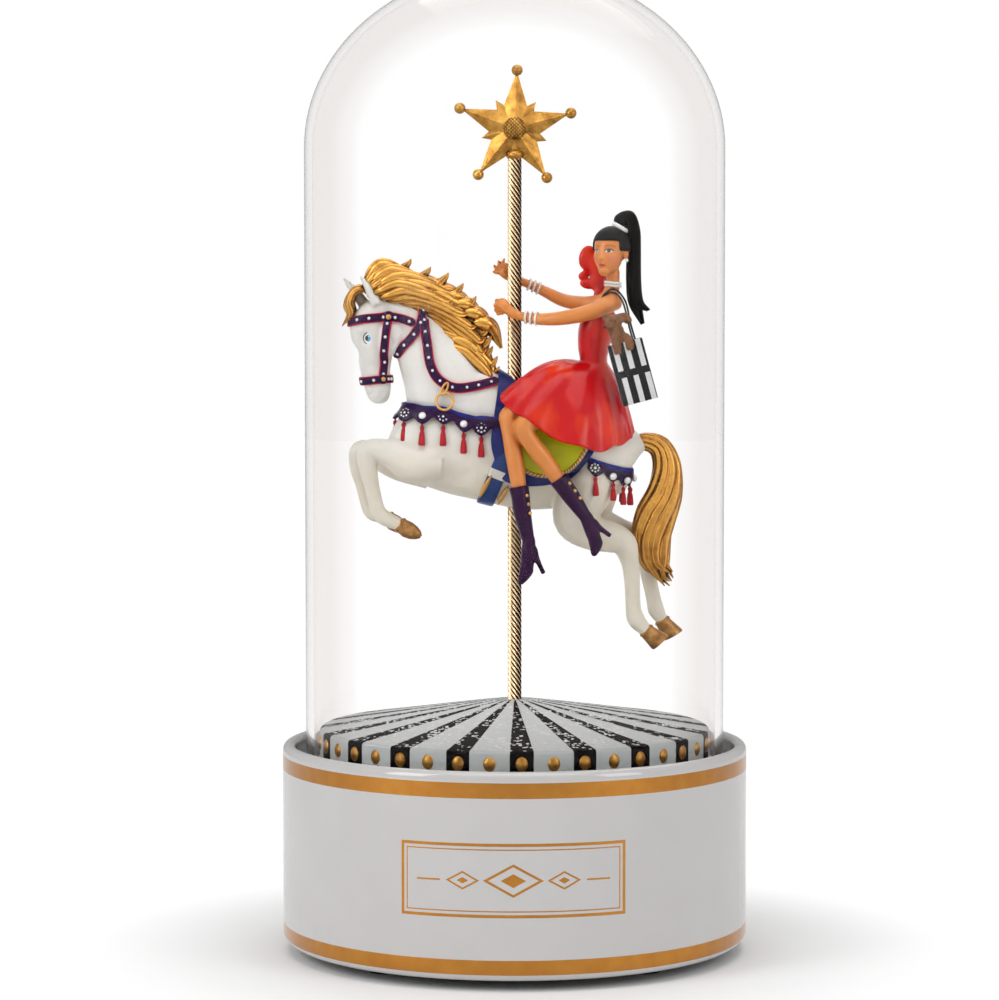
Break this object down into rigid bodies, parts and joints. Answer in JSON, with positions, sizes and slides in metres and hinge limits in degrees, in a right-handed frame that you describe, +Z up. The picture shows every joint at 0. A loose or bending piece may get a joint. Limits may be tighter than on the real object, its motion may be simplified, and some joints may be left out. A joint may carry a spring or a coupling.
{
  "type": "carousel music box",
  "caption": "Wind-up music box: a glazed ceramic drum with a cylinder movement turns a striped canopy, pole, jumping horse and rider under a glass dome.",
  "frame": {"origin": "middle of the face that the feet stand on", "axes": "+Z up along the pole, -Y towards the label on the drum and the rider's side of the horse, the horse faces -X"},
  "size_m": [0.12, 0.12, 0.253],
  "materials": {
    "glaze": "high gloss white glaze with fired gold bands",
    "brass": "satin machined",
    "twisted_brass": "polished rope twist",
    "cover_plastic": "fine grained moulding",
    "foot_rubber": "matt",
    "steel": "bright nickel plate",
    "spring_steel": "blued",
    "fan_plastic": "moulded",
    "washer_plastic": "smooth",
    "dome_glass": "clear, polished",
    "stripes": "gloss black and white wedges with gold glitter flecks",
    "gold_paint": "antique gold paint, rubbed on the high places",
    "bronze_paint": "antique bronze paint",
    "ivory_resin": "cast resin with satin ivory paint",
    "purple_enamel": "gloss enamel on resin",
    "red_enamel": "gloss enamel on resin",
    "navy_enamel": "gloss enamel on resin",
    "green_enamel": "gloss enamel on resin",
    "skin_paint": "satin paint on resin",
    "black_paint": "gloss paint on resin",
    "pearl_paint": "pearl paint on resin",
    "bag_stripes": "gloss black and white stripes on resin",
    "dog_paint": "satin paint on resin"
  },
  "bodies": {
    "base": {"base_shell": "glaze", "deck_bush": "brass", "bottom_cover": "cover_plastic", "rubber_feet": "foot_rubber", "cover_screws": "steel", "dome_seal": "washer_plastic", "bedplate": "brass", "comb_block": "brass", "comb": "steel", "comb_screws": "steel", "left_bearing": "brass", "gear_bracket": "brass", "governor_bracket": "brass", "movement_screws": "steel", "clutch_spring": "steel", "thrust_washer": "washer_plastic"},
    "winding": {"winding_arbor": "steel", "winding_key": "steel"},
    "cylinder": {"tune_cylinder": "brass", "cylinder_arbor": "steel", "crown_pinion": "brass", "cylinder_wheel": "brass"},
    "governor": {"governor_arbor": "steel", "governor_pinion": "steel", "worm_wheel": "brass"},
    "fan": {"worm_shaft": "steel", "air_brake": "fan_plastic"},
    "dome": {"glass_dome": "dome_glass"},
    "carousel": {"mainspring_barrel": "brass", "barrel_cap": "brass", "mainspring": "spring_steel", "drive_shaft": "steel", "turntable_hub": "steel", "hub_screws": "steel", "canopy": "stripes", "canopy_studs": "gold_paint", "pole": "twisted_brass", "star_finial": "gold_paint", "horse_body": "ivory_resin", "hooves": "bronze_paint", "mane": "gold_paint", "tail": "gold_paint", "bridle": "purple_enamel", "neck_collar": "purple_enamel", "rein_ring": "gold_paint", "breast_band": "purple_enamel", "crupper": "purple_enamel", "tassels": "red_enamel", "saddle_cloth": "navy_enamel", "saddle": "green_enamel", "girth": "navy_enamel", "girth_buckle": "gold_paint", "rider_body": "skin_paint", "dress": "red_enamel", "hair": "black_paint", "boots": "purple_enamel", "jewellery": "pearl_paint", "bag": "bag_stripes", "bag_strap": "black_paint", "dog": "dog_paint"}
  },
  "joints": [
    {"name": "turntable_spin", "type": "hinge", "parent": "base", "child": "carousel", "pos_m": [0, 0, 0.05], "axis": [0, 0, 1], "continuous": true},
    {"name": "cylinder_spin", "type": "hinge", "parent": "base", "child": "cylinder", "pos_m": [0.025, 0, 0.0238], "axis": [1, 0, 0], "continuous": true},
    {"name": "governor_spin", "type": "hinge", "parent": "base", "child": "governor", "pos_m": [0.04, 0.00865, 0.0238], "axis": [1, 0, 0], "continuous": true},
    {"name": "fan_spin", "type": "hinge", "parent": "base", "child": "fan", "pos_m": [0.04215, 0.01623, 0.03], "axis": [0, 0, 1], "continuous": true},
    {"name": "key_turn", "type": "hinge", "parent": "base", "child": "winding", "pos_m": [0, 0, 0.01], "axis": [0, 0, 1], "range_deg": [0, 2880]},
    {"name": "dome_lift", "type": "slide", "parent": "base", "child": "dome", "axis": [0, 0, 1], "range_m": [0, 0.205]}
  ],
  "couplings": [
    {"joint": "cylinder_spin", "follows": "turntable_spin", "ratio": -3.2},
    {"joint": "governor_spin", "follows": "turntable_spin", "ratio": 10.4},
    {"joint": "fan_spin", "follows": "turntable_spin", "ratio": -187.2}
  ]
}
